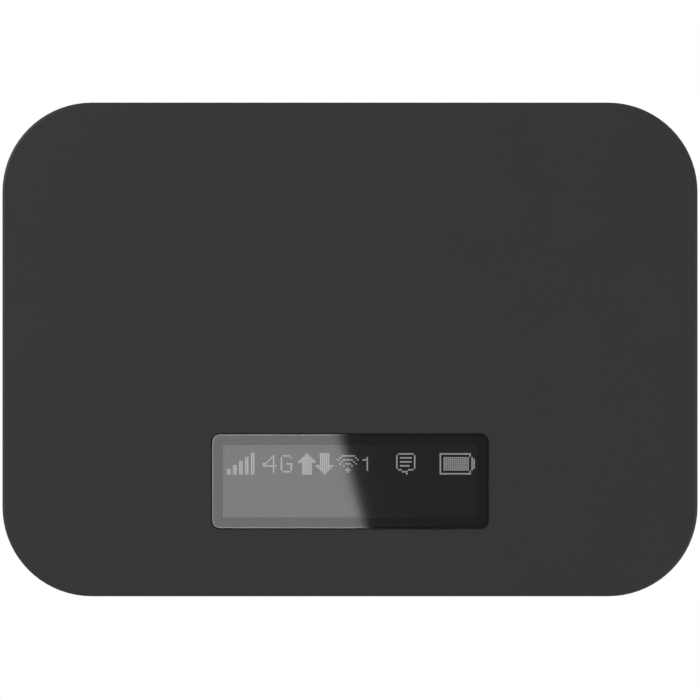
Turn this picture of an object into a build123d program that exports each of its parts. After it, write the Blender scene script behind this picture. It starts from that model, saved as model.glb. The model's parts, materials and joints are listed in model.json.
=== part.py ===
from build123d import *
from math import radians, tan
import os

# Pocket mobile hotspot: a flat battery-powered router with a small status window.
# It lies on its back. +Z points out of the face, +Y to the edge that carries the keys,
# and the origin is the centre of the back, on the surface the device rests on.
# All sizes are millimetres.
#
# From the back to the face the device is: back cover, battery, mid housing, main board
# with its parts, display module, front cover with the status window.

# ------------------------------------------------------------ driving dimensions

width = 96.0
height = 68.2
thickness = 15.6
corner_radius = 12.35
side_draft = 2.5  # degrees that the sides lean in from the face to the back
seam = 0.1  # gap between the parts of the casing
fit = 0.12  # clearance around a part that moves or drops in

# front cover
cover_wall = 1.5
face_edge_radius = 0.4
front_rim_z = 6.4
face_inside_z = thickness - cover_wall

# status window
window_y = -18.2
window_size = (38.3, 13.2)
window_radius = 1.2
window_thickness = 1.0
tape_thickness = 0.12
window_pocket_depth = 1.15
window_gap = 0.05  # the glass is glued in, so it sits closer than a part that moves
window_edge = 0.12  # chamfer of the glass
view_size = (36.2, 11.1)  # hole behind the window
view_radius = 0.5
ledge_z = 13.7  # underside of the frame that carries the window

# mid housing
band_low_z = 4.7
band_high_z = front_rim_z - seam
band_inset = 0.15
tongue_top_z = 7.6
housing_wall = 1.3
deck_low_z = 1.9
deck_high_z = 2.9
skirt_inset = 1.5

# battery and its bay
bay_centre = (-7.0, 0.0)
battery_size = (60.0, 48.0, 5.5)
battery_low_z = 1.5
bay_clearance = 0.3
bay_floor_low_z = 7.3
bay_floor_high_z = 8.1
bay_wall = 0.9
battery_edge_radius = 0.9
battery_top_y = bay_centre[1] + battery_size[1] / 2

# back cover
back_wall = 1.2
back_rim_z = band_low_z - seam
back_edge_radius = 3.6

# main board
board_low_z = 8.3
board_high_z = 9.3
board_size = (91.2, 63.4)
board_corner_radius = 10.3

# housing screws, one in each corner
screw_places = [(x, y) for x in (-40.6, 40.6) for y in (-26.7, 26.7)]
screw_radius = 0.8
screw_head_radius = 1.5
screw_head_height = 0.9
screw_seat_z = 3.6
screw_end_z = 12.2
post_radius = 2.3
post_low_z = board_high_z + 0.05
insert_radius = 1.4
insert_high_z = board_high_z + 3.5

# short screws that hold the board to the front cover
board_screw_places = [(24.0, 28.0), (-24.0, -28.0)]
board_screw_end_z = board_high_z + 2.9

# keys on the +Y side, and their switches
key_places = {"menu_key": -15.0, "power_key": 15.0}
key_size = (9.0, 2.6)
key_z = 10.3
key_face_y = 34.02
key_dish_depth = 0.53
key_flange_y = (31.3, 32.2)
switch_size = (4.2, 3.0)
switch_height = 1.9
switch_front_y = 30.9

# USB-C socket in the middle of the -Y side
usb_mouth_y = -33.4
usb_length = 7.35
usb_outer = (8.94, 3.2)
usb_inner = (8.34, 2.6)
usb_z = board_high_z + usb_outer[1] / 2
usb_back_y = usb_mouth_y + usb_length
usb_leg_places = [(x, y) for x in (-4.3, 4.3) for y in (-30.6, -27.2)]

# SIM card and its socket, in a well beside the battery bay
sim_size = (8.8, 12.3, 0.67)  # nano-SIM
sim_x = 34.1
sim_low_y = -14.6
sim_low_z = 7.2
sim_pad_depth = 0.03
well_size = (15.0, 30.0)
well_centre = (sim_x, -1.0)
well_wall = 0.8

# reset switch behind a pinhole
reset_place = (30.5, 21.0)
pinhole_radius = 0.7
reset_switch_low_z = 7.4

# hooks of the back cover: place, and the direction in which the barb points
hook_places = [(x, y, 0, y / abs(y)) for x in (-28.0, 28.0) for y in (-29.4, 29.4)]
hook_places += [(x, y, x / abs(x), 0) for x in (-43.2, 43.2) for y in (-19.0, 19.0)]
hook_length = 4.0
hook_thickness = 0.9
hook_barb = 0.35
hook_high_z = 4.2

# ------------------------------------------------------------ shapes used by several parts

foot = (Align.CENTER, Align.CENTER, Align.MIN)  # an upright solid is placed by its foot


def body_outline(z, inset):
    """The casing's plan outline at height z, moved inward by inset."""
    step = inset + (thickness - z) * tan(radians(side_draft))
    RectangleRounded(width - 2 * step, height - 2 * step, corner_radius - step)


def casing_slice(top_z, bottom_z, inset, lower_edge_radius=0.0):
    """The drafted casing between two heights, moved inward by inset."""
    with BuildPart() as piece:
        with BuildSketch(Plane.XY.offset(top_z)):
            body_outline(top_z, inset)
        extrude(amount=bottom_z - top_z, taper=side_draft)
        if lower_edge_radius:
            fillet(piece.faces().sort_by(Axis.Z)[0].edges(), lower_edge_radius)
    return piece.part


def top_side(x, y, z):
    """A plane that looks out of the +Y side of the casing."""
    return Plane(origin=(x, y, z), x_dir=(1, 0, 0), z_dir=(0, 1, 0))


def bottom_side(x, y, z):
    """A plane that looks out of the -Y side of the casing."""
    return Plane(origin=(x, y, z), x_dir=(1, 0, 0), z_dir=(0, -1, 0))


def along_edge(length, depth, out_x):
    """The plan size of something that runs along an edge which faces the X or the Y way."""
    return (depth, length) if out_x else (length, depth)


def blocks(places, low_z, high_z, size, mode=Mode.ADD):
    """Boxes of one plan size between two heights, centred on each place."""
    with Locations(*[(x, y, low_z) for x, y in places]):
        Box(*size, high_z - low_z, align=foot, mode=mode)


def posts(places, low_z, high_z, radius, mode=Mode.ADD):
    """Upright cylinders between two heights, centred on each place."""
    with Locations(*[(x, y, low_z) for x, y in places]):
        Cylinder(radius, high_z - low_z, align=foot, mode=mode)


# ------------------------------------------------------------ front cover and window

face_cavity = casing_slice(face_inside_z, front_rim_z - 1, cover_wall)

with BuildPart() as front_cover:
    with BuildSketch(Plane.XY.offset(thickness)):
        body_outline(thickness, 0)
    extrude(amount=front_rim_z - thickness, taper=side_draft)
    fillet(front_cover.faces().sort_by(Axis.Z)[-1].edges(), face_edge_radius)
    add(face_cavity, mode=Mode.SUBTRACT)
    # frame that carries the window, and the posts for the screws
    with BuildSketch(Plane.XY.offset(ledge_z)):
        with Locations((0, window_y)):
            RectangleRounded(window_size[0] + 2.8, window_size[1] + 2.8, window_radius + 1)
    extrude(amount=face_inside_z - ledge_z)
    posts(screw_places, post_low_z, face_inside_z, post_radius)
    posts(board_screw_places, post_low_z, face_inside_z, 1.7)
    # window pocket and the view hole through its floor
    with BuildSketch(Plane.XY.offset(thickness)):
        with Locations((0, window_y)):
            RectangleRounded(
                window_size[0] + 2 * window_gap,
                window_size[1] + 2 * window_gap,
                window_radius + window_gap,
            )
    extrude(amount=-window_pocket_depth, mode=Mode.SUBTRACT)
    with BuildSketch(Plane.XY.offset(thickness)):
        with Locations((0, window_y)):
            RectangleRounded(*view_size, view_radius)
    extrude(amount=ledge_z - thickness, mode=Mode.SUBTRACT)
    # seats for the brass inserts, and pilot holes for the board screws
    posts(screw_places, board_high_z, insert_high_z + 0.1, insert_radius, mode=Mode.SUBTRACT)
    posts(board_screw_places, board_high_z, board_screw_end_z + 0.1, 0.6, mode=Mode.SUBTRACT)
    # each key has a shallow dish and a slot through the wall
    for key_x in key_places.values():
        with BuildSketch(top_side(key_x, height / 2, key_z)):
            SlotOverall(key_size[0] + 3.6, key_size[1] + 2.0)
        extrude(amount=-key_dish_depth, mode=Mode.SUBTRACT)
        with BuildSketch(top_side(key_x, height / 2, key_z)):
            SlotOverall(key_size[0] + 2 * fit, key_size[1] + 2 * fit)
        extrude(amount=-3.0, mode=Mode.SUBTRACT)
    # the USB-C socket looks out through a slot with a lead-in
    with BuildSketch(bottom_side(0, -height / 2, usb_z)):
        SlotOverall(usb_outer[0] + 0.3, usb_outer[1] + 0.3)
    extrude(amount=-3.0, mode=Mode.SUBTRACT)
    with BuildSketch(bottom_side(0, -height / 2, usb_z)):
        SlotOverall(usb_outer[0] + 1.1, usb_outer[1] + 1.1)
    extrude(amount=-0.7, taper=35, mode=Mode.SUBTRACT)

with BuildPart() as display_window:
    window_low_z = thickness - window_pocket_depth + tape_thickness
    with BuildSketch(Plane.XY.offset(window_low_z)):
        with Locations((0, window_y)):
            RectangleRounded(*window_size, window_radius)
    extrude(amount=window_thickness)
    chamfer(display_window.faces().sort_by(Axis.Z)[-1].edges(), window_edge)

with BuildPart() as window_tape:
    with BuildSketch(Plane.XY.offset(thickness - window_pocket_depth)):
        with Locations((0, window_y)):
            RectangleRounded(window_size[0] - 0.7, window_size[1] - 0.7, window_radius - 0.3)
            RectangleRounded(*view_size, view_radius, mode=Mode.SUBTRACT)
    extrude(amount=tape_thickness)

# ------------------------------------------------------------ display module

glass_size = (38.0, 14.2)
glass_y = -17.8  # the glass is longer towards +Y, where its driver chip sits
glass_low_z = 12.85
glass_high_z = 13.35
polarizer_low_z = 14.3
polarizer_high_z = 14.5
tray_low_z = 11.3

with BuildPart() as display_gasket:
    with BuildSketch(Plane.XY.offset(glass_high_z)):
        with Locations((0, window_y)):
            Rectangle(view_size[0] + 1.2, view_size[1] + 1.0)
            Rectangle(view_size[0] + 0.2, view_size[1] + 0.2, mode=Mode.SUBTRACT)
    extrude(amount=ledge_z - glass_high_z)

with BuildPart() as display_glass:
    blocks([(0, glass_y)], glass_low_z, glass_high_z, glass_size)
    blocks([(0, window_y)], glass_high_z, polarizer_low_z, (35.8, 10.7))

with BuildPart() as display_polarizer:
    blocks([(0, window_y)], polarizer_low_z, polarizer_high_z, (35.6, 10.5))

with BuildPart() as display_driver:
    blocks([(0, -11.45)], glass_high_z, glass_high_z + 0.3, (18.0, 0.55))

with BuildPart() as backlight_frame:
    blocks([(0, glass_y)], tray_low_z + 0.2, glass_low_z, (38.6, 14.8))
    blocks([(0, glass_y)], tray_low_z + 0.2, glass_low_z, (36.6, 12.4), mode=Mode.SUBTRACT)

with BuildPart() as light_guide:
    blocks([(0, glass_y)], tray_low_z + 0.2, glass_low_z - 0.1, (36.4, 12.2))

with BuildPart() as display_tray:
    blocks([(0, glass_y)], tray_low_z, glass_low_z - 0.2, (39.2, 15.4))
    blocks([(0, glass_y)], tray_low_z + 0.2, glass_low_z, (38.8, 15.0), mode=Mode.SUBTRACT)

with BuildPart() as display_flex:
    with BuildSketch(Plane.YZ):
        with BuildLine():
            FilletPolyline(
                (-11.0, 13.41), (-9.3, 13.41), (-9.3, 9.8), (-8.0, 9.8), radius=0.55
            )
        trace(line_width=0.1)
    extrude(amount=4.5, both=True)

with BuildPart() as display_connector:
    blocks([(0, -7.6)], board_high_z, board_high_z + 1.1, (11.0, 2.4))
    # slot for the flex
    blocks([(0, -8.4)], 9.65, 9.95, (9.3, 1.0), mode=Mode.SUBTRACT)

# ------------------------------------------------------------ main board

with BuildPart() as main_board:
    with BuildSketch(Plane.XY.offset(board_low_z)):
        RectangleRounded(*board_size, board_corner_radius)
        with Locations(*screw_places):
            Circle(1.1, mode=Mode.SUBTRACT)
        with Locations(*board_screw_places):
            Circle(0.8, mode=Mode.SUBTRACT)
        # slots for the legs of the USB-C socket
        with Locations(*usb_leg_places):
            Rectangle(0.55, 1.4, mode=Mode.SUBTRACT)
        # the edge steps back behind each key
        with Locations(*[(x, board_size[1] / 2) for x in key_places.values()]):
            Rectangle(
                key_size[0] + 3.0, 2 * (board_size[1] / 2 - switch_front_y), mode=Mode.SUBTRACT
            )
    extrude(amount=board_high_z - board_low_z)
    fillet(main_board.edges().filter_by(Axis.Z).group_by(Axis.Y)[-1], 0.4)

# Shield cans: centre and size in plan. Each is a soldered fence under a clip-on lid.
can_places = {
    "modem_shield_lid": ((-8.0, 8.0), (34.0, 26.0)),
    "radio_shield_lid": ((24.0, 8.0), (22.0, 26.0)),
    "power_shield_lid": ((-32.75, 6.0), (9.5, 22.0)),
}
can_height = 1.7
can_sheet = 0.15
can_top_z = board_high_z + can_height


def shield_lid(centre, size):
    """A stamped lid, open below."""
    inside = [side - 2 * can_sheet for side in size]
    with BuildPart() as lid:
        blocks([centre], board_high_z + 0.25, can_top_z, size)
        fillet(lid.edges().filter_by(Axis.Z), 0.8)
        fillet(lid.faces().sort_by(Axis.Z)[-1].edges(), 0.25)
        blocks([centre], board_high_z, can_top_z - can_sheet, inside, mode=Mode.SUBTRACT)
    return lid


shield_lids = {name: shield_lid(*place) for name, place in can_places.items()}

with BuildPart() as shield_fences:
    for centre, size in can_places.values():
        outside = [side - 0.5 for side in size]
        inside = [side - 0.9 for side in size]
        blocks([centre], board_high_z, can_top_z - 0.3, outside)
        blocks([centre], board_high_z, can_top_z, inside, mode=Mode.SUBTRACT)

# Chips: centre, plan size and height
chip_places = {
    "modem_processor": ((-15.0, 8.0), (13.0, 13.0), 1.0),
    "memory_chip": ((1.5, 9.0), (9.0, 11.0), 0.9),
    "power_management_chip": ((-32.75, 8.0), (6.0, 6.0), 0.8),
    "wifi_chip": ((19.5, 14.0), (7.5, 7.5), 0.8),
    "radio_transceiver": ((19.5, 2.0), (6.5, 6.5), 0.8),
}


def chip_package(centre, size, chip_height):
    """A moulded chip package with a softened top edge and a pin-one dimple."""
    with BuildPart() as chip:
        top_z = board_high_z + chip_height
        blocks([centre], board_high_z, top_z, size)
        chamfer(chip.faces().sort_by(Axis.Z)[-1].edges(), 0.08)
        corner = (centre[0] - size[0] / 2 + 1.0, centre[1] + size[1] / 2 - 1.0)
        posts([corner], top_z - 0.05, top_z + 0.05, 0.35, mode=Mode.SUBTRACT)
    return chip


chips = {name: chip_package(*place) for name, place in chip_places.items()}

with BuildPart() as power_amplifiers:
    amplifier_places = [(29.5, y) for y in (-0.5, 6.0, 12.5, 17.5)]
    blocks(amplifier_places, board_high_z, board_high_z + 0.7, (4.0, 3.2))

with BuildPart() as thermal_pad:
    processor_centre, _, processor_height = chip_places["modem_processor"]
    blocks(
        [processor_centre], board_high_z + processor_height, can_top_z - can_sheet, (12.0, 12.0)
    )

with BuildPart() as heat_spreader:
    with BuildSketch(Plane.XY.offset(can_top_z)):
        with Locations((5.0, 8.0)):
            RectangleRounded(56.0, 22.0, 1.5)
    extrude(amount=0.15)

with BuildPart() as inductors:
    inductor_places = [(-33.0, -12.5), (-33.0, -18.5), (-27.0, -15.5), (27.0, -12.0)]
    blocks(inductor_places, board_high_z, board_high_z + 1.6, (4.0, 4.0))
    chamfer(inductors.edges().filter_by(Axis.Z), 0.5)

with BuildPart() as capacitors:
    # rows beside the big chips, then two blocks in the open area beside the display
    rows = [((-23.5, 8.0), 1, 9), ((-6.5, 8.0), 1, 9), ((-32.75, 14.0), 3, 2)]
    rows += [((14.8, 8.0), 1, 8), ((32.0, -17.5), 3, 4), ((-32.75, -0.5), 3, 2)]
    for centre, columns, count in rows:
        with Locations((*centre, 0)):
            with GridLocations(2.0, 2.3, columns, count):
                blocks([(0, 0)], board_high_z, board_high_z + 0.6, (1.0, 1.6))

with BuildPart() as antenna_test_sockets:
    socket_places = [(36.8, -10.0), (36.8, 10.0), (-24.0, 22.5)]
    blocks(socket_places, board_high_z, board_high_z + 0.5, (2.4, 2.4))
    posts(socket_places, board_high_z + 0.5, board_high_z + 1.2, 1.0)
    posts(socket_places, board_high_z + 0.5, board_high_z + 1.3, 0.6, mode=Mode.SUBTRACT)

# ------------------------------------------------------------ antennas

carrier_size = (6.0, 32.0)
carrier_x = 42.2
carrier_top_z = 13.6

with BuildPart() as antenna_carriers:
    # a moulded bridge on the board at each end
    carrier_places = [(-carrier_x, 0), (carrier_x, 0)]
    carrier_inside = [side - 1.6 for side in carrier_size]
    blocks(carrier_places, board_high_z, carrier_top_z, carrier_size)
    fillet(antenna_carriers.faces().group_by(Axis.Z)[-1].edges().filter_by(Axis.Y), 0.8)
    blocks(
        carrier_places, board_high_z, carrier_top_z - 0.8, carrier_inside, mode=Mode.SUBTRACT
    )

with BuildPart() as antenna_traces:
    # a meander of plated copper on top of each carrier
    with BuildSketch(Plane.XY.offset(carrier_top_z)):
        for x in (-carrier_x, carrier_x):
            with Locations((x, 0)):
                with GridLocations(0, 4.0, 1, 8):
                    Rectangle(4.0, 0.9)
            with Locations((x + 1.55, 0)):
                with GridLocations(0, 8.0, 1, 4):
                    Rectangle(0.9, 4.9)
            with Locations((x - 1.55, 0)):
                with GridLocations(0, 8.0, 1, 3):
                    Rectangle(0.9, 4.9)
    extrude(amount=0.05)

with BuildPart() as antenna_springs:
    # small leaf contacts that stand on the board inside each carrier
    with BuildSketch(Plane.XZ.offset(10.0)):
        for x in (-carrier_x, carrier_x):
            with BuildLine():
                Polyline(
                    (x - 1.2, board_high_z + 0.1),
                    (x + 1.0, board_high_z + 0.1),
                    (x + 1.0, board_high_z + 1.6),
                    (x - 0.8, board_high_z + 3.3),
                )
            trace(line_width=0.2)
    extrude(amount=0.6, both=True)

with BuildPart() as wifi_antennas:
    # stamped inverted-F antennas: a roof on two legs
    for x, y in ((-30.0, 28.3), (32.0, -28.3)):
        blocks([(x, y)], board_high_z + 3.0, board_high_z + 3.25, (9.0, 3.6))
        blocks([(x - 4.375, y), (x - 1.5, y)], board_high_z, board_high_z + 3.0, (0.25, 1.6))

# ------------------------------------------------------------ USB-C socket

with BuildPart() as usb_shell:
    with BuildSketch(bottom_side(0, usb_mouth_y, usb_z)):
        SlotOverall(*usb_outer)
        SlotOverall(*usb_inner, mode=Mode.SUBTRACT)
    extrude(amount=-usb_length)
    # four legs that are soldered through the board
    blocks(usb_leg_places, board_low_z + 0.2, usb_z - 0.3, (0.25, 1.1))

with BuildPart() as usb_tongue:
    # the moulded block that closes the back of the shell, and the tongue in its middle
    with BuildSketch(bottom_side(0, usb_back_y, usb_z)):
        SlotOverall(usb_inner[0] - 0.02, usb_inner[1] - 0.02)
    extrude(amount=1.6)
    with Locations((0, usb_mouth_y + 0.9, usb_z)):
        Box(6.69, usb_length - 2.0, 0.7, align=(Align.CENTER, Align.MIN, Align.CENTER))

with BuildPart() as usb_contacts:
    for side in (-1, 1):
        with Locations((0, usb_mouth_y + 3.2, usb_z + side * 0.365)):
            with GridLocations(0.5, 1, 12, 1):
                Box(0.25, 3.4, 0.03)

# ------------------------------------------------------------ keys and switches


def side_key(x):
    """A key cap with a domed face, and the flange that keeps it behind the wall."""
    with BuildPart() as key:
        with BuildSketch(top_side(x, key_flange_y[1], key_z)):
            SlotOverall(*key_size)
        extrude(amount=key_face_y - key_flange_y[1])
        fillet(key.faces().sort_by(Axis.Y)[-1].edges(), 0.35)
        with BuildSketch(top_side(x, key_flange_y[0], key_z)):
            SlotOverall(key_size[0] + 1.6, key_size[1] + 1.2)
        extrude(amount=key_flange_y[1] - key_flange_y[0])
    return key


def side_switch(x):
    """A side-acting switch on the board, hollow behind its plunger."""
    with BuildPart() as switch:
        centre = (x, switch_front_y - switch_size[1] / 2)
        blocks([centre], board_high_z, board_high_z + switch_height, switch_size)
        chamfer(switch.faces().sort_by(Axis.Z)[-1].edges(), 0.12)
        with Locations((x, switch_front_y - 0.7, key_z)):
            Box(2.0, 1.41, 1.1, mode=Mode.SUBTRACT)
    return switch


def side_plunger(x):
    """The plunger between a side-acting switch and its key."""
    with BuildPart() as plunger:
        with Locations((x, key_flange_y[0], key_z)):
            Box(1.8, 1.3, 0.9, align=(Align.CENTER, Align.MAX, Align.CENTER))
    return plunger


side_keys = {name: side_key(x) for name, x in key_places.items()}
side_switches = {name.replace("key", "switch"): side_switch(x) for name, x in key_places.items()}
side_plungers = {name.replace("key", "plunger"): side_plunger(x) for name, x in key_places.items()}

with BuildPart() as reset_switch:
    blocks([reset_place], reset_switch_low_z, board_low_z, (3.2, 3.2))
    posts([reset_place], reset_switch_low_z, board_low_z - 0.2, 0.7, mode=Mode.SUBTRACT)

with BuildPart() as reset_plunger:
    posts([reset_place], reset_switch_low_z - 0.45, reset_switch_low_z + 0.4, 0.6)
    fillet(reset_plunger.faces().sort_by(Axis.Z)[0].edges(), 0.2)

# ------------------------------------------------------------ SIM card and socket

sim_high_z = sim_low_z + sim_size[2]
socket_low_y = sim_low_y - 1.0
socket_high_y = sim_low_y + 10.6
socket_place = (sim_x, (socket_low_y + socket_high_y) / 2)
socket_length = socket_high_y - socket_low_y
roof_low_z = sim_low_z - 0.19
roof_high_z = sim_low_z - 0.04

with BuildPart() as sim_card:
    with BuildSketch(Plane.XY.offset(sim_low_z)):
        with Locations((sim_x, sim_low_y + sim_size[1] / 2)):
            RectangleRounded(sim_size[0], sim_size[1], 0.6)
        # the cut corner shows which way round the card goes
        with BuildLine():
            Polyline(
                (sim_x - 4.4, sim_low_y),
                (sim_x - 4.4 + 1.65, sim_low_y),
                (sim_x - 4.4, sim_low_y + 1.65),
                close=True,
            )
        make_face(mode=Mode.SUBTRACT)
    extrude(amount=sim_size[2])
    # the gold pads lie flush in its upper side
    with Locations((sim_x, sim_low_y + sim_size[1] / 2, 0)):
        with GridLocations(2.6, 2.6, 2, 3):
            blocks(
                [(0, 0)], sim_high_z - sim_pad_depth, sim_high_z, (2.2, 2.2), mode=Mode.SUBTRACT
            )

with BuildPart() as sim_card_pads:
    with Locations((sim_x, sim_low_y + sim_size[1] / 2, 0)):
        with GridLocations(2.6, 2.6, 2, 3):
            blocks([(0, 0)], sim_high_z - sim_pad_depth, sim_high_z, (2.2, 2.2))

with BuildPart() as sim_socket:
    rail_places = [(sim_x + side * 5.6, socket_place[1]) for side in (-1, 1)]
    blocks([socket_place], sim_high_z + 0.12, board_low_z, (13.4, socket_length))
    blocks(rail_places, roof_high_z, board_low_z, (2.1, socket_length))
    # stop at the blind end
    blocks([(sim_x, socket_low_y + 0.4)], roof_high_z, board_low_z, (13.3, 0.8))

with BuildPart() as sim_socket_cover:
    # a stamped roof with folded sides, and a thumb notch that shows the end of the card
    blocks([socket_place], roof_low_z, board_low_z, (13.8, socket_length))
    blocks(
        [socket_place], roof_high_z, board_low_z, (13.5, socket_length), mode=Mode.SUBTRACT
    )
    posts([(sim_x, socket_high_y)], roof_low_z, roof_high_z, 3.0, mode=Mode.SUBTRACT)
    # two windows through which the card can be seen
    with Locations((sim_x, socket_low_y + 4.0, 0)):
        with GridLocations(5.6, 1, 2, 1):
            blocks([(0, 0)], roof_low_z, roof_high_z, (1.6, 3.0), mode=Mode.SUBTRACT)

# ------------------------------------------------------------ battery

cell_length = 43.2
bottom_cap_length = 1.7
battery_low_y = bay_centre[1] - battery_size[1] / 2
battery_mid_z = battery_low_z + battery_size[2] / 2
contact_pitch = 2.6
pad_size = (1.7, 3.4)


def battery_section(low_y, high_y, inset):
    """A length of the battery's rounded cross-section, moved inward by inset."""
    with BuildPart() as section:
        with BuildSketch(bottom_side(bay_centre[0], low_y, battery_mid_z)):
            RectangleRounded(
                battery_size[0] - 2 * inset,
                battery_size[2] - 2 * inset,
                battery_edge_radius - inset,
            )
        extrude(amount=low_y - high_y)
    return section.part


cell_low_y = battery_low_y + bottom_cap_length
cell_high_y = cell_low_y + cell_length
wrap_inside = battery_section(cell_low_y - 1, cell_high_y + 1, 0.15)

with BuildPart() as battery_wrap:
    add(battery_section(cell_low_y, cell_high_y, 0))
    add(wrap_inside, mode=Mode.SUBTRACT)

with BuildPart() as battery_cell:
    add(battery_section(cell_low_y, cell_high_y, 0.16))

with BuildPart() as battery_bottom_cap:
    add(battery_section(battery_low_y, cell_low_y, 0))
    fillet(battery_bottom_cap.faces().sort_by(Axis.Y)[0].edges(), 0.4)

with BuildPart() as battery_top_cap:
    add(battery_section(cell_high_y, battery_top_y, 0))
    fillet(battery_top_cap.faces().sort_by(Axis.Y)[-1].edges(), 0.4)
    # hollow for the protection board, and windows for the contact pads
    with Locations((bay_centre[0], cell_high_y + 1.0, battery_mid_z)):
        Box(54.0, 1.4, 3.9, mode=Mode.SUBTRACT)
    with BuildSketch(top_side(bay_centre[0], battery_top_y, battery_mid_z)):
        with GridLocations(contact_pitch, 1, 4, 1):
            Rectangle(*pad_size)
    extrude(amount=-1.5, mode=Mode.SUBTRACT)

with BuildPart() as battery_protection_board:
    with Locations((bay_centre[0], cell_high_y + 1.0, battery_mid_z)):
        Box(53.6, 1.0, 3.5)

with BuildPart() as battery_pads:
    pad_low_y = cell_high_y + 1.5
    with BuildSketch(top_side(bay_centre[0], pad_low_y, battery_mid_z)):
        with GridLocations(contact_pitch, 1, 4, 1):
            Rectangle(pad_size[0] - 0.1, pad_size[1] - 0.1)
    extrude(amount=battery_top_y - pad_low_y)

# ------------------------------------------------------------ mid housing

tray_outside = casing_slice(band_low_z, deck_low_z, skirt_inset, lower_edge_radius=1.4)
band = casing_slice(band_high_z, band_low_z, band_inset)
tongue = casing_slice(tongue_top_z, band_low_z, cover_wall + seam)
tray_inside = casing_slice(tongue_top_z + 1, deck_high_z, cover_wall + seam + housing_wall)
bay_outer = (
    battery_size[0] + 2 * (bay_clearance + bay_wall),
    battery_size[1] + 2 * (bay_clearance + bay_wall),
)
bay_inner = (battery_size[0] + 2 * bay_clearance, battery_size[1] + 2 * bay_clearance)
well_outer = [side + 2 * well_wall for side in well_size]
pry_size = (16.0, 5.2)  # room for a fingertip beside the battery
pry_place = (bay_centre[0], bay_centre[1] - bay_inner[1] / 2 - 1.6)
pry_floor_z = 6.2
reset_tower_z = 6.6
connector_size = (12.0, 4.0)
connector_place = (bay_centre[0], 27.6)
connector_low_z = 3.4

with BuildPart() as mid_housing:
    add(tray_outside)
    add(band)
    add(tongue)
    add(tray_inside, mode=Mode.SUBTRACT)
    # walls of the battery bay, the pry pocket, the SIM well and the reset tower
    blocks([bay_centre], deck_high_z, bay_floor_high_z, bay_outer)
    blocks([pry_place], deck_high_z, pry_floor_z + 0.8, [side + 1.6 for side in pry_size])
    blocks([well_centre], deck_high_z, board_low_z - seam, well_outer)
    posts([reset_place], deck_high_z, reset_tower_z, 1.8)
    # screw posts, and ribs between the bay and the skirt
    posts(screw_places, deck_high_z, board_low_z, post_radius)
    rib_places = [(x, y) for x in (-37.0, -18.0, 4.0, 20.0) for y in (-28.2, 28.2)]
    blocks(rib_places, deck_high_z, 7.0, (0.8, 6.4))
    # the bay, the pry pocket and the well are open to the back
    blocks([bay_centre], deck_low_z, bay_floor_low_z, bay_inner, mode=Mode.SUBTRACT)
    blocks([pry_place], deck_low_z, pry_floor_z, pry_size, mode=Mode.SUBTRACT)
    blocks([well_centre], deck_low_z, board_low_z, well_size, mode=Mode.SUBTRACT)
    # slot through which the battery contacts reach
    slot_place = (connector_place[0], bay_centre[1] + bay_outer[1] / 2 - bay_wall / 2)
    blocks([slot_place], 3.2, bay_floor_low_z, (12.6, bay_wall), mode=Mode.SUBTRACT)
    # pinhole with a countersunk mouth
    posts([reset_place], deck_low_z, reset_tower_z, pinhole_radius, mode=Mode.SUBTRACT)
    with Locations((*reset_place, deck_low_z)):
        Cone(1.3, pinhole_radius, 0.6, align=foot, mode=Mode.SUBTRACT)
    # screw seats and clearance holes
    posts(screw_places, deck_low_z, screw_seat_z, screw_head_radius + 0.25, mode=Mode.SUBTRACT)
    posts(screw_places, deck_low_z, board_low_z, 1.0, mode=Mode.SUBTRACT)
    # slots for the hooks of the back cover
    for x, y, out_x, out_y in hook_places:
        slot_size = along_edge(hook_length + 0.6, 1.75, out_x)
        slot_place = (x + 0.18 * out_x, y + 0.18 * out_y)
        blocks([slot_place], deck_low_z, deck_high_z, slot_size, mode=Mode.SUBTRACT)

# ------------------------------------------------------------ battery connector

with BuildPart() as battery_connector:
    blocks([connector_place], connector_low_z, board_low_z, connector_size)
    chamfer(battery_connector.edges().filter_by(Axis.X).group_by(Axis.Z)[0], 0.3)

with BuildPart() as battery_contact_springs:
    # four bowed blades between the connector and the battery's pads
    root_y = connector_place[1] - connector_size[1] / 2
    nose_y = battery_top_y + 0.02
    blade_z = 4.6
    blade_sheet = 0.18
    for column in range(4):
        blade_x = connector_place[0] + (column - 1.5) * contact_pitch
        with BuildSketch(Plane.YZ.offset(blade_x)):
            with BuildLine():
                outer = ThreePointArc(
                    (root_y, blade_z - 0.7), (nose_y, blade_z), (root_y, blade_z + 0.7)
                )
                inner = ThreePointArc(
                    (root_y, blade_z - 0.7 + blade_sheet),
                    (nose_y + blade_sheet, blade_z),
                    (root_y, blade_z + 0.7 - blade_sheet),
                )
                Line(outer @ 0, inner @ 0)
                Line(outer @ 1, inner @ 1)
            make_face()
        extrude(amount=0.4, both=True)

# ------------------------------------------------------------ back cover

back_outside = casing_slice(back_rim_z, 0, 0, lower_edge_radius=back_edge_radius)
back_inside = casing_slice(
    back_rim_z + 1, back_wall, back_wall, lower_edge_radius=back_edge_radius - back_wall
)

with BuildPart() as back_cover:
    add(back_outside)
    add(back_inside, mode=Mode.SUBTRACT)
    chamfer(back_cover.faces().sort_by(Axis.Z)[-1].outer_wire().edges(), 0.15)
    # low ribs that the battery lies on
    rib_places = [(bay_centre[0], y) for y in (-14.0, 0.0, 14.0)]
    blocks(rib_places, back_wall, battery_low_z - 0.05, (50.0, 1.0))
    # hooks, each with a barb on its outer side
    for x, y, out_x, out_y in hook_places:
        reach = (hook_thickness + hook_barb) / 2
        barb_place = (x + reach * out_x, y + reach * out_y)
        barb_size = along_edge(hook_length - 1, hook_barb, out_x)
        blocks([(x, y)], back_wall, hook_high_z, along_edge(hook_length, hook_thickness, out_x))
        blocks([barb_place], hook_high_z - 0.8, hook_high_z, barb_size)
    # fingernail notch in the rim, on the -X side
    with Locations((-width / 2 - 5.3, 0, back_rim_z)):
        Cylinder(7.6, 2.4, mode=Mode.SUBTRACT)

# ------------------------------------------------------------ fasteners


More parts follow.
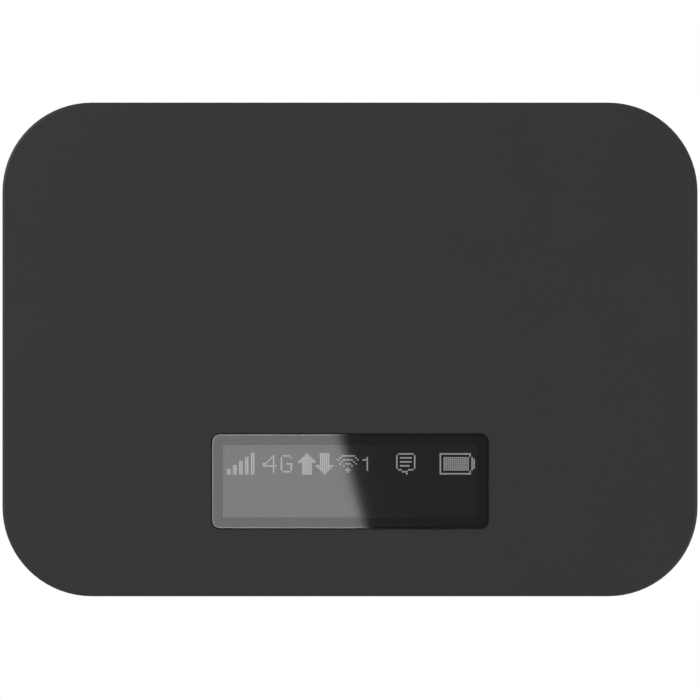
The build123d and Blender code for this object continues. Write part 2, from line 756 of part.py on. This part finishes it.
def cross_recesses(places, head_low_z):
    """The crossed slots in screw heads that face down."""
    blocks(places, head_low_z, head_low_z + 0.45, (1.6, 0.36), mode=Mode.SUBTRACT)
    blocks(places, head_low_z, head_low_z + 0.45, (0.36, 1.6), mode=Mode.SUBTRACT)


with BuildPart() as housing_screws:
    head_low_z = screw_seat_z - screw_head_height
    posts(screw_places, head_low_z, screw_seat_z, screw_head_radius)
    posts(screw_places, screw_seat_z, screw_end_z, screw_radius - 0.03)
    cross_recesses(screw_places, head_low_z)

with BuildPart() as threaded_inserts:
    posts(screw_places, post_low_z, insert_high_z, insert_radius - 0.02)
    posts(screw_places, post_low_z, insert_high_z, screw_radius, mode=Mode.SUBTRACT)

with BuildPart() as board_screws:
    posts(board_screw_places, board_low_z - 0.8, board_low_z, 1.3)
    posts(board_screw_places, board_low_z, board_screw_end_z, 0.58)
    cross_recesses(board_screw_places, board_low_z - 0.8)

# ------------------------------------------------------------ one STEP file for each part

parts = {
    "front_cover": front_cover,
    "display_window": display_window,
    "window_tape": window_tape,
    "display_gasket": display_gasket,
    "display_glass": display_glass,
    "display_polarizer": display_polarizer,
    "display_driver": display_driver,
    "backlight_frame": backlight_frame,
    "light_guide": light_guide,
    "display_tray": display_tray,
    "display_flex": display_flex,
    "display_connector": display_connector,
    "main_board": main_board,
    "shield_fences": shield_fences,
    "power_amplifiers": power_amplifiers,
    "thermal_pad": thermal_pad,
    "heat_spreader": heat_spreader,
    "inductors": inductors,
    "capacitors": capacitors,
    "antenna_test_sockets": antenna_test_sockets,
    "antenna_carriers": antenna_carriers,
    "antenna_traces": antenna_traces,
    "antenna_springs": antenna_springs,
    "wifi_antennas": wifi_antennas,
    "usb_shell": usb_shell,
    "usb_tongue": usb_tongue,
    "usb_contacts": usb_contacts,
    "reset_switch": reset_switch,
    "reset_plunger": reset_plunger,
    "sim_card": sim_card,
    "sim_card_pads": sim_card_pads,
    "sim_socket": sim_socket,
    "sim_socket_cover": sim_socket_cover,
    "battery_wrap": battery_wrap,
    "battery_cell": battery_cell,
    "battery_bottom_cap": battery_bottom_cap,
    "battery_top_cap": battery_top_cap,
    "battery_protection_board": battery_protection_board,
    "battery_pads": battery_pads,
    "battery_connector": battery_connector,
    "battery_contact_springs": battery_contact_springs,
    "mid_housing": mid_housing,
    "back_cover": back_cover,
    "housing_screws": housing_screws,
    "threaded_inserts": threaded_inserts,
    "board_screws": board_screws,
    **shield_lids,
    **chips,
    **side_keys,
    **side_switches,
    **side_plungers,
}

os.makedirs("parts", exist_ok=True)
for name, piece in parts.items():
    piece.part.label = name
    export_step(piece.part, f"parts/{name}.step")
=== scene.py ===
"""The looks of a pocket mobile hotspot: camera, light, materials, and the pieces that CAD leaves out."""

import json
from math import cos, pi, sin

import bmesh
import bpy
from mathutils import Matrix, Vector


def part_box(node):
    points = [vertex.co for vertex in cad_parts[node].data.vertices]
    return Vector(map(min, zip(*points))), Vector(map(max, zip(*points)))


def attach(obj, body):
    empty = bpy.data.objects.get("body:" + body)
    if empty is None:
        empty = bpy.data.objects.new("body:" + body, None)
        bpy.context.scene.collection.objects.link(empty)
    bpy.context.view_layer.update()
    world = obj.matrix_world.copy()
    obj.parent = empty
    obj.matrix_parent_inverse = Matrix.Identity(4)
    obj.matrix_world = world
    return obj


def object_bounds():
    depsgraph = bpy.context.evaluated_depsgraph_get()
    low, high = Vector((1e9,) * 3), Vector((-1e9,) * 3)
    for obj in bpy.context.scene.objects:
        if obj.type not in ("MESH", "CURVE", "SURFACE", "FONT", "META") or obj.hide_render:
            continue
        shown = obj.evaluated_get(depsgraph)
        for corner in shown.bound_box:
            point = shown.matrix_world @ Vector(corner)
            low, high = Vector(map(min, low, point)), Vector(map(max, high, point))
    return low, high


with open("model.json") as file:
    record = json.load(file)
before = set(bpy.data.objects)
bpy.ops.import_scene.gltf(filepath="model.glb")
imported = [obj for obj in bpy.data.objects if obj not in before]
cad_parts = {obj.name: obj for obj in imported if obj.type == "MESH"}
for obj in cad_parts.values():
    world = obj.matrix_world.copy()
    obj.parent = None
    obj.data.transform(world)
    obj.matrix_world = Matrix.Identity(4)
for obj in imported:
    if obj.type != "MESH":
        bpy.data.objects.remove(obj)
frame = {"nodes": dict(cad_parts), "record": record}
cad_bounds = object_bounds()
mm = 0.001

# ------------------------------------------------------------ mesh helpers

# The way from a centre to each corner, anticlockwise
corner_ways = ((1, 1), (-1, 1), (-1, -1), (1, -1))


def add_piece(name, mesh, body, finish):
    """Links a finished bmesh as a piece that rides on a CAD body."""
    data = bpy.data.meshes.new(name)
    bmesh.ops.recalc_face_normals(mesh, faces=mesh.faces)
    mesh.to_mesh(data)
    mesh.free()
    piece = bpy.data.objects.new(name, data)
    bpy.context.scene.collection.objects.link(piece)
    data.materials.append(finish)
    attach(piece, body)
    return piece


def rounded_outline(centre, size, radius, corner_points=10):
    """Points of a rectangle with round corners, anticlockwise."""
    points = []
    reach_x, reach_y = size[0] / 2 - radius, size[1] / 2 - radius
    for corner, (way_x, way_y) in enumerate(corner_ways):
        for step in range(corner_points + 1):
            angle = (corner + step / corner_points) * pi / 2
            points.append(
                (
                    centre[0] + way_x * reach_x + radius * cos(angle),
                    centre[1] + way_y * reach_y + radius * sin(angle),
                )
            )
    return points


def loop_at(mesh, outline, z):
    """A closed ring of vertices at one height."""
    return [mesh.verts.new((x, y, z)) for x, y in outline]


def bridge(mesh, first, second):
    """A band of faces between two rings with the same number of vertices."""
    for here in range(len(first)):
        after = (here + 1) % len(first)
        mesh.faces.new((first[here], first[after], second[after], second[here]))


def ring_mesh(outer, inner, low_z, high_z):
    """A flat closed ring between two outlines."""
    mesh = bmesh.new()
    rings = [
        loop_at(mesh, outline, z)
        for outline, z in ((outer, low_z), (outer, high_z), (inner, high_z), (inner, low_z))
    ]
    for here in range(4):
        bridge(mesh, rings[here], rings[(here + 1) % 4])
    return mesh


def sheet_mesh(outlines, heights):
    """A closed sheet: rings of the same length stacked in height, with a cap on each end."""
    mesh = bmesh.new()
    rings = [loop_at(mesh, outline, z) for outline, z in zip(outlines, heights)]
    for lower, upper in zip(rings, rings[1:]):
        bridge(mesh, lower, upper)
    mesh.faces.new(rings[0])
    mesh.faces.new(rings[-1])
    return mesh


# ------------------------------------------------------------ material helpers


def add_node(tree, kind, inputs=None, **settings):
    """Adds a shader node. An input is a value, or the output of another node."""
    made = tree.nodes.new(kind)
    for name, value in settings.items():
        setattr(made, name, value)
    for name, value in (inputs or {}).items():
        if isinstance(value, bpy.types.NodeSocket):
            tree.links.new(value, made.inputs[name])
        else:
            made.inputs[name].default_value = value
    return made


def shade(colour, factor):
    """A colour made lighter or darker, with its alpha left at 1."""
    return [min(1.0, channel * factor) for channel in colour[:3]] + [1.0]


cloud_size = 9 * mm  # the width of the broad marks on every surface
noise_low, noise_high = 0.3, 0.7  # nearly all of a noise texture lies between these


def finish(
    name,
    colour,
    roughness,
    grain=0.2 * mm,
    relief=0.0,
    drift=0.06,
    rough_drift=0.05,
    stretch=(1, 1, 1),
    **sockets,
):
    """A surface whose colour and gloss drift a little, and whose height may vary with its grain.

    grain is the width of the finest marks and relief their depth. drift is the share by which the
    colour varies, and rough_drift how far the roughness does. stretch draws the marks out along
    an axis, as in rolled sheet. Other keywords set the shader's own sockets.
    """
    made = bpy.data.materials.new(name)
    made.use_nodes = True
    tree = made.node_tree
    shader = tree.nodes["Principled BSDF"]
    for socket, value in sockets.items():
        shader.inputs[socket.replace("_", " ")].default_value = value
    place = add_node(tree, "ShaderNodeTexCoord")
    drawn = add_node(
        tree, "ShaderNodeMapping", {"Vector": place.outputs["Object"], "Scale": stretch}
    )
    fine = add_node(
        tree,
        "ShaderNodeTexNoise",
        {"Vector": drawn.outputs[0], "Scale": 1 / grain, "Detail": 3.0, "Roughness": 0.6},
    )
    broad = add_node(
        tree,
        "ShaderNodeTexNoise",
        {"Vector": drawn.outputs[0], "Scale": 1 / cloud_size, "Detail": 4.0},
    )
    blend = add_node(
        tree,
        "ShaderNodeMix",
        {0: 0.5, 2: fine.outputs["Fac"], 3: broad.outputs["Fac"]},
    )
    tint = add_node(
        tree,
        "ShaderNodeMix",
        {0: blend.outputs[0], 6: shade(colour, 1 - drift), 7: shade(colour, 1 + drift)},
        data_type="RGBA",
    )
    tree.links.new(tint.outputs[2], shader.inputs["Base Color"])
    gloss = add_node(
        tree,
        "ShaderNodeMapRange",
        {
            "Value": broad.outputs["Fac"],
            "From Min": noise_low,
            "From Max": noise_high,
            "To Min": roughness - rough_drift,
            "To Max": roughness + rough_drift,
        },
    )
    tree.links.new(gloss.outputs[0], shader.inputs["Roughness"])
    if relief:
        bump = add_node(
            tree,
            "ShaderNodeBump",
            {"Height": fine.outputs["Fac"], "Distance": relief, "Strength": 1.0},
        )
        tree.links.new(bump.outputs[0], shader.inputs["Normal"])
    return made


# ------------------------------------------------------------ materials

# One finish for each material slot of the record
finishes = {
    "casing_plastic": finish(
        "casing_plastic", (0.0198, 0.0198, 0.0200), 0.52, grain=0.16 * mm, relief=0.002 * mm,
        drift=0.03, rough_drift=0.015,
    ),
    "housing_plastic": finish(
        "housing_plastic", (0.017, 0.017, 0.0173), 0.5, grain=0.2 * mm, relief=0.003 * mm,
        drift=0.03, rough_drift=0.015,
    ),
    "key_plastic": finish(
        "key_plastic", (0.014, 0.014, 0.0142), 0.38, grain=0.12 * mm, relief=0.001 * mm
    ),
    "window_glass": finish(
        "window_glass", (0.36, 0.361, 0.362), 0.02, grain=6 * mm, drift=0.01, rough_drift=0.005,
        Transmission_Weight=1.0, IOR=1.7,
    ),
    "adhesive": finish("adhesive", (0.04, 0.04, 0.04), 0.6, relief=0.004 * mm),
    "gasket_foam": finish("gasket_foam", (0.02, 0.02, 0.02), 0.9, relief=0.03 * mm),
    "display_glass": finish("display_glass", (0.03, 0.034, 0.036), 0.12, drift=0.03),
    # painted light: the panel glows faintly all over. A little of it is backlight through the dark parts
    # of the panel, and the rest stands in for room light that the glass keeps from reaching it
    "polarizer_film": finish(
        "polarizer_film", (0.042, 0.042, 0.043), 0.05, grain=4 * mm, drift=0.03, rough_drift=0.01,
        Emission_Color=(1.0, 1.0, 1.0, 1.0), Emission_Strength=0.044,
    ),
    "chip_resin": finish("chip_resin", (0.02, 0.02, 0.022), 0.48, relief=0.003 * mm),
    "white_plastic": finish("white_plastic", (0.72, 0.72, 0.70), 0.45, drift=0.02),
    "light_guide_plastic": finish(
        "light_guide_plastic", (0.75, 0.79, 0.80), 0.1, drift=0.02, Coat_Weight=0.3
    ),
    "stainless_sheet": finish(
        "stainless_sheet", (0.55, 0.55, 0.54), 0.3, stretch=(1, 0.05, 1), relief=0.002 * mm,
        Metallic=1.0,
    ),
    "flex_circuit": finish("flex_circuit", (0.40, 0.16, 0.03), 0.3, stretch=(1, 0.05, 1)),
    "connector_plastic": finish("connector_plastic", (0.022, 0.022, 0.023), 0.5),
    "circuit_board": finish("circuit_board", (0.010, 0.060, 0.030), 0.35, Coat_Weight=0.4),
    "tinned_sheet": finish(
        "tinned_sheet", (0.62, 0.62, 0.60), 0.34, stretch=(0.05, 1, 1), relief=0.002 * mm,
        Metallic=1.0,
    ),
    "silicone_pad": finish("silicone_pad", (0.36, 0.48, 0.55), 0.7, relief=0.01 * mm),
    "graphite_sheet": finish("graphite_sheet", (0.07, 0.07, 0.075), 0.45, relief=0.005 * mm),
    "ferrite": finish("ferrite", (0.07, 0.07, 0.075), 0.6, relief=0.008 * mm),
    "ceramic_chip": finish("ceramic_chip", (0.40, 0.28, 0.17), 0.4),
    "gold_plate": finish(
        "gold_plate", (0.85, 0.60, 0.26), 0.24, relief=0.001 * mm, Metallic=1.0
    ),
    "copper_trace": finish("copper_trace", (0.80, 0.42, 0.25), 0.35, Metallic=1.0),
    "brass": finish("brass", (0.78, 0.58, 0.28), 0.35, relief=0.004 * mm, Metallic=1.0),
    "steel_screw": finish(
        "steel_screw", (0.22, 0.22, 0.23), 0.34, relief=0.003 * mm, Metallic=1.0
    ),
    "sim_plastic": finish("sim_plastic", (0.74, 0.74, 0.72), 0.42, drift=0.02),
    "cell_can": finish(
        "cell_can", (0.70, 0.70, 0.70), 0.32, stretch=(0.05, 1, 1), Metallic=1.0
    ),
    "wrap_film": finish("wrap_film", (0.020, 0.020, 0.022), 0.34, rough_drift=0.02),
    "cap_plastic": finish("cap_plastic", (0.018, 0.018, 0.018), 0.5, relief=0.004 * mm),
}

slot_of = {part["node"]: part["material_slot"] for part in frame["record"]["subparts"]}
for node, piece in frame["nodes"].items():
    piece.data.materials.clear()
    piece.data.materials.append(finishes[slot_of[node]])

# ------------------------------------------------------------ status window

glass_low, glass_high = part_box("display_window")
window_centre = (glass_low + glass_high) / 2
glass_size = glass_high - glass_low
panel_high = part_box("display_polarizer")[1].z

# The panel is a dot matrix behind the glass. It shows one row of symbols along its top.
columns, rows = 128, 36.5
dot = 35.1 * mm / columns
panel_size = (columns * dot, rows * dot)
panel_left = window_centre.x - panel_size[0] / 2
panel_top = window_centre.y + panel_size[1] / 2

# The smoke tint and the black print stop short of the glass's edge, which stays clear
ink_margin = 0.3 * mm
ink_radius = 0.9 * mm
ink_opening_radius = 0.05 * mm
ink_lift = 0.004 * mm
ink_thickness = 0.006 * mm
ink_size = (glass_size.x - 2 * ink_margin, glass_size.y - 2 * ink_margin)
clear_tint = (0.8, 0.8, 0.8, 1.0)


def clear_the_edge(material, centre, size, radius):
    """Keeps a glass's smoke tint inside a rounded rectangle, and leaves its margin clear."""
    tree = material.node_tree
    shader = tree.nodes["Principled BSDF"]
    smoke = shader.inputs["Base Color"].links[0].from_socket
    place = add_node(tree, "ShaderNodeTexCoord")
    # the distance of a point from the rectangle that joins the centres of the round corners
    steps = (
        ("SUBTRACT", tuple(centre)),
        ("ABSOLUTE", None),
        ("SUBTRACT", (size[0] / 2 - radius, size[1] / 2 - radius, 1.0)),
        ("MAXIMUM", (0.0, 0.0, 0.0)),
    )
    point = place.outputs["Object"]
    for operation, value in steps:
        step = add_node(tree, "ShaderNodeVectorMath", {0: point}, operation=operation)
        if value:
            step.inputs[1].default_value = value
        point = step.outputs[0]
    distance = add_node(tree, "ShaderNodeVectorMath", {0: point}, operation="LENGTH")
    outside = add_node(
        tree,
        "ShaderNodeMath",
        {0: distance.outputs["Value"], 1: radius},
        operation="GREATER_THAN",
    )
    tint = add_node(
        tree,
        "ShaderNodeMix",
        {0: outside.outputs[0], 6: smoke, 7: clear_tint},
        data_type="RGBA",
    )
    tree.links.new(tint.outputs[2], shader.inputs["Base Color"])


clear_the_edge(finishes["window_glass"], window_centre, ink_size, ink_radius)
ink_low = glass_low.z + ink_lift
add_piece(
    "window_ink_frame",
    ring_mesh(
        rounded_outline(window_centre, ink_size, ink_radius),
        rounded_outline(window_centre, panel_size, ink_opening_radius),
        ink_low,
        ink_low + ink_thickness,
    ),
    "housing",
    finish(
        "window_ink", (0.104, 0.104, 0.105), 0.35, grain=4 * mm, drift=0.03,
        Specular_IOR_Level=0.1,
    ),
)


def glowing_dots(name, strength):
    """The finish of dots that glow evenly."""
    return finish(
        name, (0.10, 0.10, 0.10), 0.4, grain=4 * mm, drift=0.03, Specular_IOR_Level=0.0,
        Emission_Color=(1.0, 1.0, 1.0, 1.0), Emission_Strength=strength,
    )


lit = glowing_dots("panel_lit", 1.06)
half_lit = glowing_dots("panel_half_lit", 0.93)
dot_fill = 0.74  # the share of a dot's width that lights up
dot_lift = 0.01 * mm
dot_thickness = 0.03 * mm


def rectangle(first_column, last_column, first_row, last_row):
    """Every dot of a rectangle. Rows count down from the panel's top."""
    return {
        (column, row)
        for column in range(first_column, last_column + 1)
        for row in range(first_row, last_row + 1)
    }


def frame_dots(first_column, last_column, first_row, last_row):
    """The dots along the edge of a rectangle."""
    inside = rectangle(first_column + 1, last_column - 1, first_row + 1, last_row - 1)
    return rectangle(first_column, last_column, first_row, last_row) - inside


def corner_dots(first_column, last_column, first_row, last_row):
    """The four corners of a rectangle."""
    return {(column, row) for column in (first_column, last_column) for row in (first_row, last_row)}


def signal_bars():
    """Five bars, each taller than the last, that stand on one line."""
    bars = [rectangle(3 * bar, 3 * bar + 1, 12 - 2 * bar, 14) for bar in range(5)]
    return set().union(*bars)


def network_sign():
    """A generic 4G sign in thin strokes."""
    four = rectangle(5, 5, 5, 13) | rectangle(0, 6, 10, 10)
    four |= {(4 - step, 6 + step) for step in range(4)} | {(0, 9)}
    letter = frame_dots(9, 14, 5, 13) - corner_dots(9, 14, 5, 13)
    letter -= rectangle(14, 14, 7, 8)
    return four | letter | rectangle(12, 14, 9, 9)


def up_arrow():
    """A solid arrow: a head of five widening rows on a thick shaft."""
    head = {(offset, 4 + row) for row in range(5) for offset in range(-row, row + 1)}
    return head | rectangle(-2, 2, 9, 14)


def down_arrow():
    """The up arrow turned over."""
    return {(column, 18 - row) for column, row in up_arrow()}


def wireless_arcs():
    """Three arcs, each a level stroke with its ends bent down, over a small diamond."""
    dots = {(0, 11), (-1, 12), (0, 12), (1, 12), (0, 13)}
    for top, half, bend in ((5, 3, 2), (7, 2, 2), (9, 1, 1)):
        dots |= rectangle(-half, half, top, top)
        for step in range(1, bend + 1):
            dots |= {(-half - step, top + step), (half + step, top + step)}
    return dots


def client_count():
    """The figure one."""
    return rectangle(2, 2, 6, 12) | rectangle(0, 1, 7, 7)


def message_bubble():
    """A speech bubble with cut corners, a tail, and three lines of writing."""
    outline = frame_dots(0, 9, 4, 12) - corner_dots(0, 9, 4, 12)
    outline -= rectangle(3, 5, 12, 12)
    tail = rectangle(3, 5, 13, 13) | {(5, 14)}
    lines = rectangle(2, 7, 6, 6) | rectangle(2, 7, 8, 8) | rectangle(2, 6, 10, 10)
    return outline | tail | lines


def battery_outline():
    """A battery on its side, with its terminal at the right."""
    frame_sides = frame_dots(0, 15, 4, 14) - rectangle(15, 15, 6, 12)
    return frame_sides | rectangle(16, 16, 6, 12) | rectangle(17, 17, 7, 11)


def battery_level():
    """The charge inside the battery sign."""
    return rectangle(2, 14, 6, 12)


def add_symbol(name, first_column, dots, material):
    """Builds lit dots as thin tiles on the panel, under the glass."""
    mesh = bmesh.new()
    low_z = panel_high + dot_lift
    half = dot * dot_fill / 2
    for column, row in sorted(dots):
        x = panel_left + (first_column + column + 0.5) * dot
        y = panel_top - (row + 0.5) * dot
        corners = [(x + way_x * half, y + way_y * half) for way_x, way_y in corner_ways]
        lower, upper = loop_at(mesh, corners, low_z), loop_at(mesh, corners, low_z + dot_thickness)
        bridge(mesh, lower, upper)
        mesh.faces.new(lower)
        mesh.faces.new(upper)
    add_piece(name, mesh, "housing", material)


# The column where each symbol starts. Arrows and arcs are drawn about their middle.
add_symbol("sign_signal", 2.0, signal_bars(), lit)
add_symbol("sign_network", 20.0, network_sign(), lit)
add_symbol("sign_upload", 41.8, up_arrow(), lit)
add_symbol("sign_download", 50.7, down_arrow(), lit)
add_symbol("sign_wireless", 62.5, wireless_arcs(), lit)
add_symbol("sign_clients", 70.2, client_count(), lit)
add_symbol("sign_message", 87.1, message_bubble(), lit)
add_symbol("sign_battery", 109.0, battery_outline(), lit)
add_symbol("sign_battery_level", 109.0, battery_level(), half_lit)

# ------------------------------------------------------------ labels under the back cover

label_thickness = 0.03 * mm
print_thickness = 0.01 * mm
label_paper = finish("label_paper", (0.62, 0.62, 0.60), 0.55, drift=0.03)
label_foil = finish(
    "label_foil", (0.50, 0.50, 0.51), 0.4, stretch=(0.05, 1, 1), drift=0.04, Metallic=0.6
)
label_print = finish("label_print", (0.02, 0.02, 0.02), 0.5)


def add_sheet(name, outline, face_z, thickness, body, material):
    """A thin sheet that is stuck to a face that looks down."""
    mesh = sheet_mesh((outline, outline), (face_z - thickness, face_z))
    return add_piece(name, mesh, body, material)


def plus_outline(centre, length, line):
    """The twelve corners of a plus sign."""
    points = []
    for turn in range(4):
        across, along = cos(turn * pi / 2), sin(turn * pi / 2)
        for out, side in ((line / 2, -line / 2), (length / 2, -line / 2), (length / 2, line / 2)):
            points.append(
                (
                    centre[0] + out * across - side * along,
                    centre[1] + out * along + side * across,
                )
            )
    return points


wrap_low, wrap_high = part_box("battery_wrap")
wrap_centre = (wrap_low + wrap_high) / 2
wrap_size = wrap_high - wrap_low

label_size = (wrap_size.x - 10 * mm, wrap_size.y - 8 * mm)
label_radius = 1.5 * mm
label_outline = rounded_outline(wrap_centre, label_size, label_radius)
add_sheet("battery_label", label_outline, wrap_low.z, label_thickness, "battery", label_foil)

# a printed border inside the label's edge
border_inset = 1.5 * mm
border_radius = 1.2 * mm
border_line = 0.3 * mm
border_size = (label_size[0] - 2 * border_inset, label_size[1] - 2 * border_inset)
label_face_z = wrap_low.z - label_thickness
add_piece(
    "battery_label_border",
    ring_mesh(
        rounded_outline(wrap_centre, border_size, border_radius),
        rounded_outline(
            wrap_centre,
            (border_size[0] - 2 * border_line, border_size[1] - 2 * border_line),
            border_radius - border_line,
        ),
        label_face_z - print_thickness,
        label_face_z,
    ),
    "battery",
    label_print,
)

# the polarity signs stand beside the outer contacts
pads_low, pads_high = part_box("battery_pads")
sign_inset = 5.5 * mm
sign_length, sign_line = 3.0 * mm, 0.6 * mm
sign_y = wrap_centre.y + label_size[1] / 2 - sign_inset
minus = rounded_outline((pads_low.x, sign_y), (sign_length, sign_line), 0.05 * mm)
plus = plus_outline((pads_high.x, sign_y), sign_length, sign_line)
add_sheet("battery_minus_sign", minus, label_face_z, print_thickness, "battery", label_print)
add_sheet("battery_plus_sign", plus, label_face_z, print_thickness, "battery", label_print)

# a blank label and a moisture dot on the roof of the battery bay
bay_roof_z = wrap_high.z + 0.3 * mm
bay_label_size, bay_label_radius = (44 * mm, 26 * mm), 0.8 * mm
moisture_dot_inset, moisture_dot_size, moisture_dot_radius = 5 * mm, (3 * mm, 3 * mm), 1.49 * mm
bay_label = rounded_outline(wrap_centre, bay_label_size, bay_label_radius)
moisture_dot = rounded_outline(
    (wrap_low.x + moisture_dot_inset, wrap_low.y + moisture_dot_inset),
    moisture_dot_size,
    moisture_dot_radius,
)
add_sheet("bay_label", bay_label, bay_roof_z, label_thickness, "housing", label_paper)
add_sheet("moisture_dot", moisture_dot, bay_roof_z, label_thickness, "housing", label_paper)

# ------------------------------------------------------------ camera

face_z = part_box("front_cover")[1].z
low, high = cad_bounds
object_share = 0.9937  # how much of the picture's width the object fills
camera_height = 0.65
camera_y = -0.08 * mm
camera_data = bpy.data.cameras.new("camera")
camera = bpy.data.objects.new("camera", camera_data)
bpy.context.scene.collection.objects.link(camera)
bpy.context.scene.camera = camera
camera_data.sensor_width = 36.0
camera_data.lens = camera_data.sensor_width * camera_height * object_share / (high.x - low.x)
camera_data.clip_start = 0.01
camera.location = (0.0, camera_y, face_z + camera_height)

# ------------------------------------------------------------ floor and light

floor_reach = 3.0
floor_z = low.z - 0.2 * mm
contact_reach = 20 * mm  # how far from the floor a piece still shades it
open_sky = 0.5  # beside a wall half the sky is open, and the floor there is still white
darkest_shade = 0.4

# The card hangs beside the lens. The window mirrors it, and enlarges it by mirror_ratio.
card_z = face_z + 0.55
card_left, card_right, card_front, card_back = -0.12, 0.03, -0.09, -0.012
card_radiance = 2.06
mirror_ratio = 1 + (card_z - face_z) / camera_height
card_slope = 0.268
card_edge_x = -4.61 * mm * mirror_ratio
card_fade = 2.2 * mm * mirror_ratio

# The room is dark only near the height of straight up, where the camera stands
room_light, overhead_light = 0.5, 0.03
overhead_starts, overhead_ends = 0.93, 0.985


def stage_card(name, corners, finish_tree):
    """A flat card that belongs to the studio."""
    mesh = bmesh.new()
    mesh.faces.new([mesh.verts.new(corner) for corner in corners])
    data = bpy.data.meshes.new(name)
    mesh.to_mesh(data)
    mesh.free()
    card = bpy.data.objects.new(name, data)
    bpy.context.scene.collection.objects.link(card)
    card_material = bpy.data.materials.new(name)
    card_material.use_nodes = True
    finish_tree(card_material.node_tree)
    data.materials.append(card_material)
    return card


def floor_finish(tree):
    """White with a soft contact shadow, and clear, so that pieces let down below it still show."""
    tree.nodes.remove(tree.nodes["Principled BSDF"])
    contact = add_node(tree, "ShaderNodeAmbientOcclusion", {"Distance": contact_reach}, samples=16)
    shadow = add_node(
        tree,
        "ShaderNodeMapRange",
        {
            "Value": contact.outputs["AO"],
            "From Min": 0.0,
            "From Max": open_sky,
            "To Min": darkest_shade,
            "To Max": 1.0,
        },
    )
    path = add_node(tree, "ShaderNodeLightPath")
    side = add_node(tree, "ShaderNodeNewGeometry")
    seen = add_node(
        tree,
        "ShaderNodeMath",
        {0: path.outputs["Is Camera Ray"], 1: side.outputs["Backfacing"]},
        operation="SUBTRACT",
        use_clamp=True,
    )
    tint = add_node(
        tree,
        "ShaderNodeMix",
        {0: seen.outputs[0], 6: (1, 1, 1, 1), 7: shadow.outputs[0]},
        data_type="RGBA",
    )
    clear = add_node(tree, "ShaderNodeBsdfTransparent", {"Color": tint.outputs[2]})
    tree.links.new(clear.outputs[0], tree.nodes["Material Output"].inputs["Surface"])


def card_finish(tree):
    """A lit card whose right edge fades out over a few millimetres."""
    tree.nodes.remove(tree.nodes["Principled BSDF"])
    place = add_node(tree, "ShaderNodeTexCoord")
    split = add_node(tree, "ShaderNodeSeparateXYZ", {0: place.outputs["Object"]})
    # how far a point lies to the left of the edge, which leans to the right towards -Y
    slant = add_node(
        tree,
        "ShaderNodeMath",
        {0: split.outputs["Y"], 1: -card_slope, 2: card_edge_x},
        operation="MULTIPLY_ADD",
    )
    inside = add_node(
        tree, "ShaderNodeMath", {0: slant.outputs[0], 1: split.outputs["X"]}, operation="SUBTRACT"
    )
    glow = add_node(
        tree,
        "ShaderNodeMapRange",
        {
            "Value": inside.outputs[0],
            "From Min": -card_fade / 2,
            "From Max": card_fade / 2,
            "To Min": 0.0,
            "To Max": card_radiance,
        },
        interpolation_type="SMOOTHSTEP",
    )
    light = add_node(tree, "ShaderNodeEmission", {"Strength": glow.outputs[0]})
    clear = add_node(tree, "ShaderNodeBsdfTransparent")
    both = add_node(tree, "ShaderNodeAddShader", {0: light.outputs[0], 1: clear.outputs[0]})
    tree.links.new(both.outputs[0], tree.nodes["Material Output"].inputs["Surface"])


stage_card(
    "floor",
    [(floor_reach * way_x, floor_reach * way_y, floor_z) for way_x, way_y in corner_ways],
    floor_finish,
)
card = stage_card(
    "reflector_card",
    [
        (card_left, card_front, card_z),
        (card_right, card_front, card_z),
        (card_right, card_back, card_z),
        (card_left, card_back, card_z),
    ],
    card_finish,
)
card.visible_camera = False
card.visible_diffuse = False
card.visible_shadow = False


def add_softbox(name, place, size, power):
    """A soft area light that points at the object and is never in the picture itself."""
    light = bpy.data.lights.new(name, "AREA")
    light.shape = "RECTANGLE"
    light.size, light.size_y = size
    light.energy = power
    lamp = bpy.data.objects.new(name, light)
    bpy.context.scene.collection.objects.link(lamp)
    lamp.location = place
    lamp.rotation_mode = "QUATERNION"
    lamp.rotation_quaternion = (-Vector(place)).to_track_quat("-Z", "Y")
    lamp.visible_camera = False


add_softbox("softbox_left", (-0.60, 0.30, 0.45), (0.5, 0.5), 3.0)
add_softbox("softbox_right", (0.75, -0.35, 0.50), (0.6, 0.4), 2.5)
add_softbox("softbox_below", (0.40, 0.45, -0.60), (0.5, 0.5), 3.0)


def light_the_studio():
    """A pale room all round that is dark overhead, in front of a white backdrop."""
    world = bpy.data.worlds.new("studio")
    bpy.context.scene.world = world
    world.use_nodes = True
    tree = world.node_tree
    room = tree.nodes["Background"]
    room.inputs["Color"].default_value = (1, 1, 1, 1)
    direction = add_node(tree, "ShaderNodeTexCoord")
    height = add_node(tree, "ShaderNodeSeparateXYZ", {0: direction.outputs["Generated"]})
    dome = add_node(
        tree,
        "ShaderNodeMapRange",
        {
            "Value": height.outputs["Z"],
            "From Min": overhead_starts,
            "From Max": overhead_ends,
            "To Min": room_light,
            "To Max": overhead_light,
        },
        interpolation_type="SMOOTHSTEP",
    )
    tree.links.new(dome.outputs[0], room.inputs["Strength"])
    backdrop = add_node(tree, "ShaderNodeBackground", {"Color": (1, 1, 1, 1), "Strength": 1.0})
    path = add_node(tree, "ShaderNodeLightPath")
    seen = add_node(
        tree,
        "ShaderNodeMixShader",
        {0: path.outputs["Is Camera Ray"], 1: room.outputs[0], 2: backdrop.outputs[0]},
    )
    tree.links.new(seen.outputs[0], tree.nodes["World Output"].inputs["Surface"])


light_the_studio()

bpy.context.scene.view_settings.view_transform = "Standard"
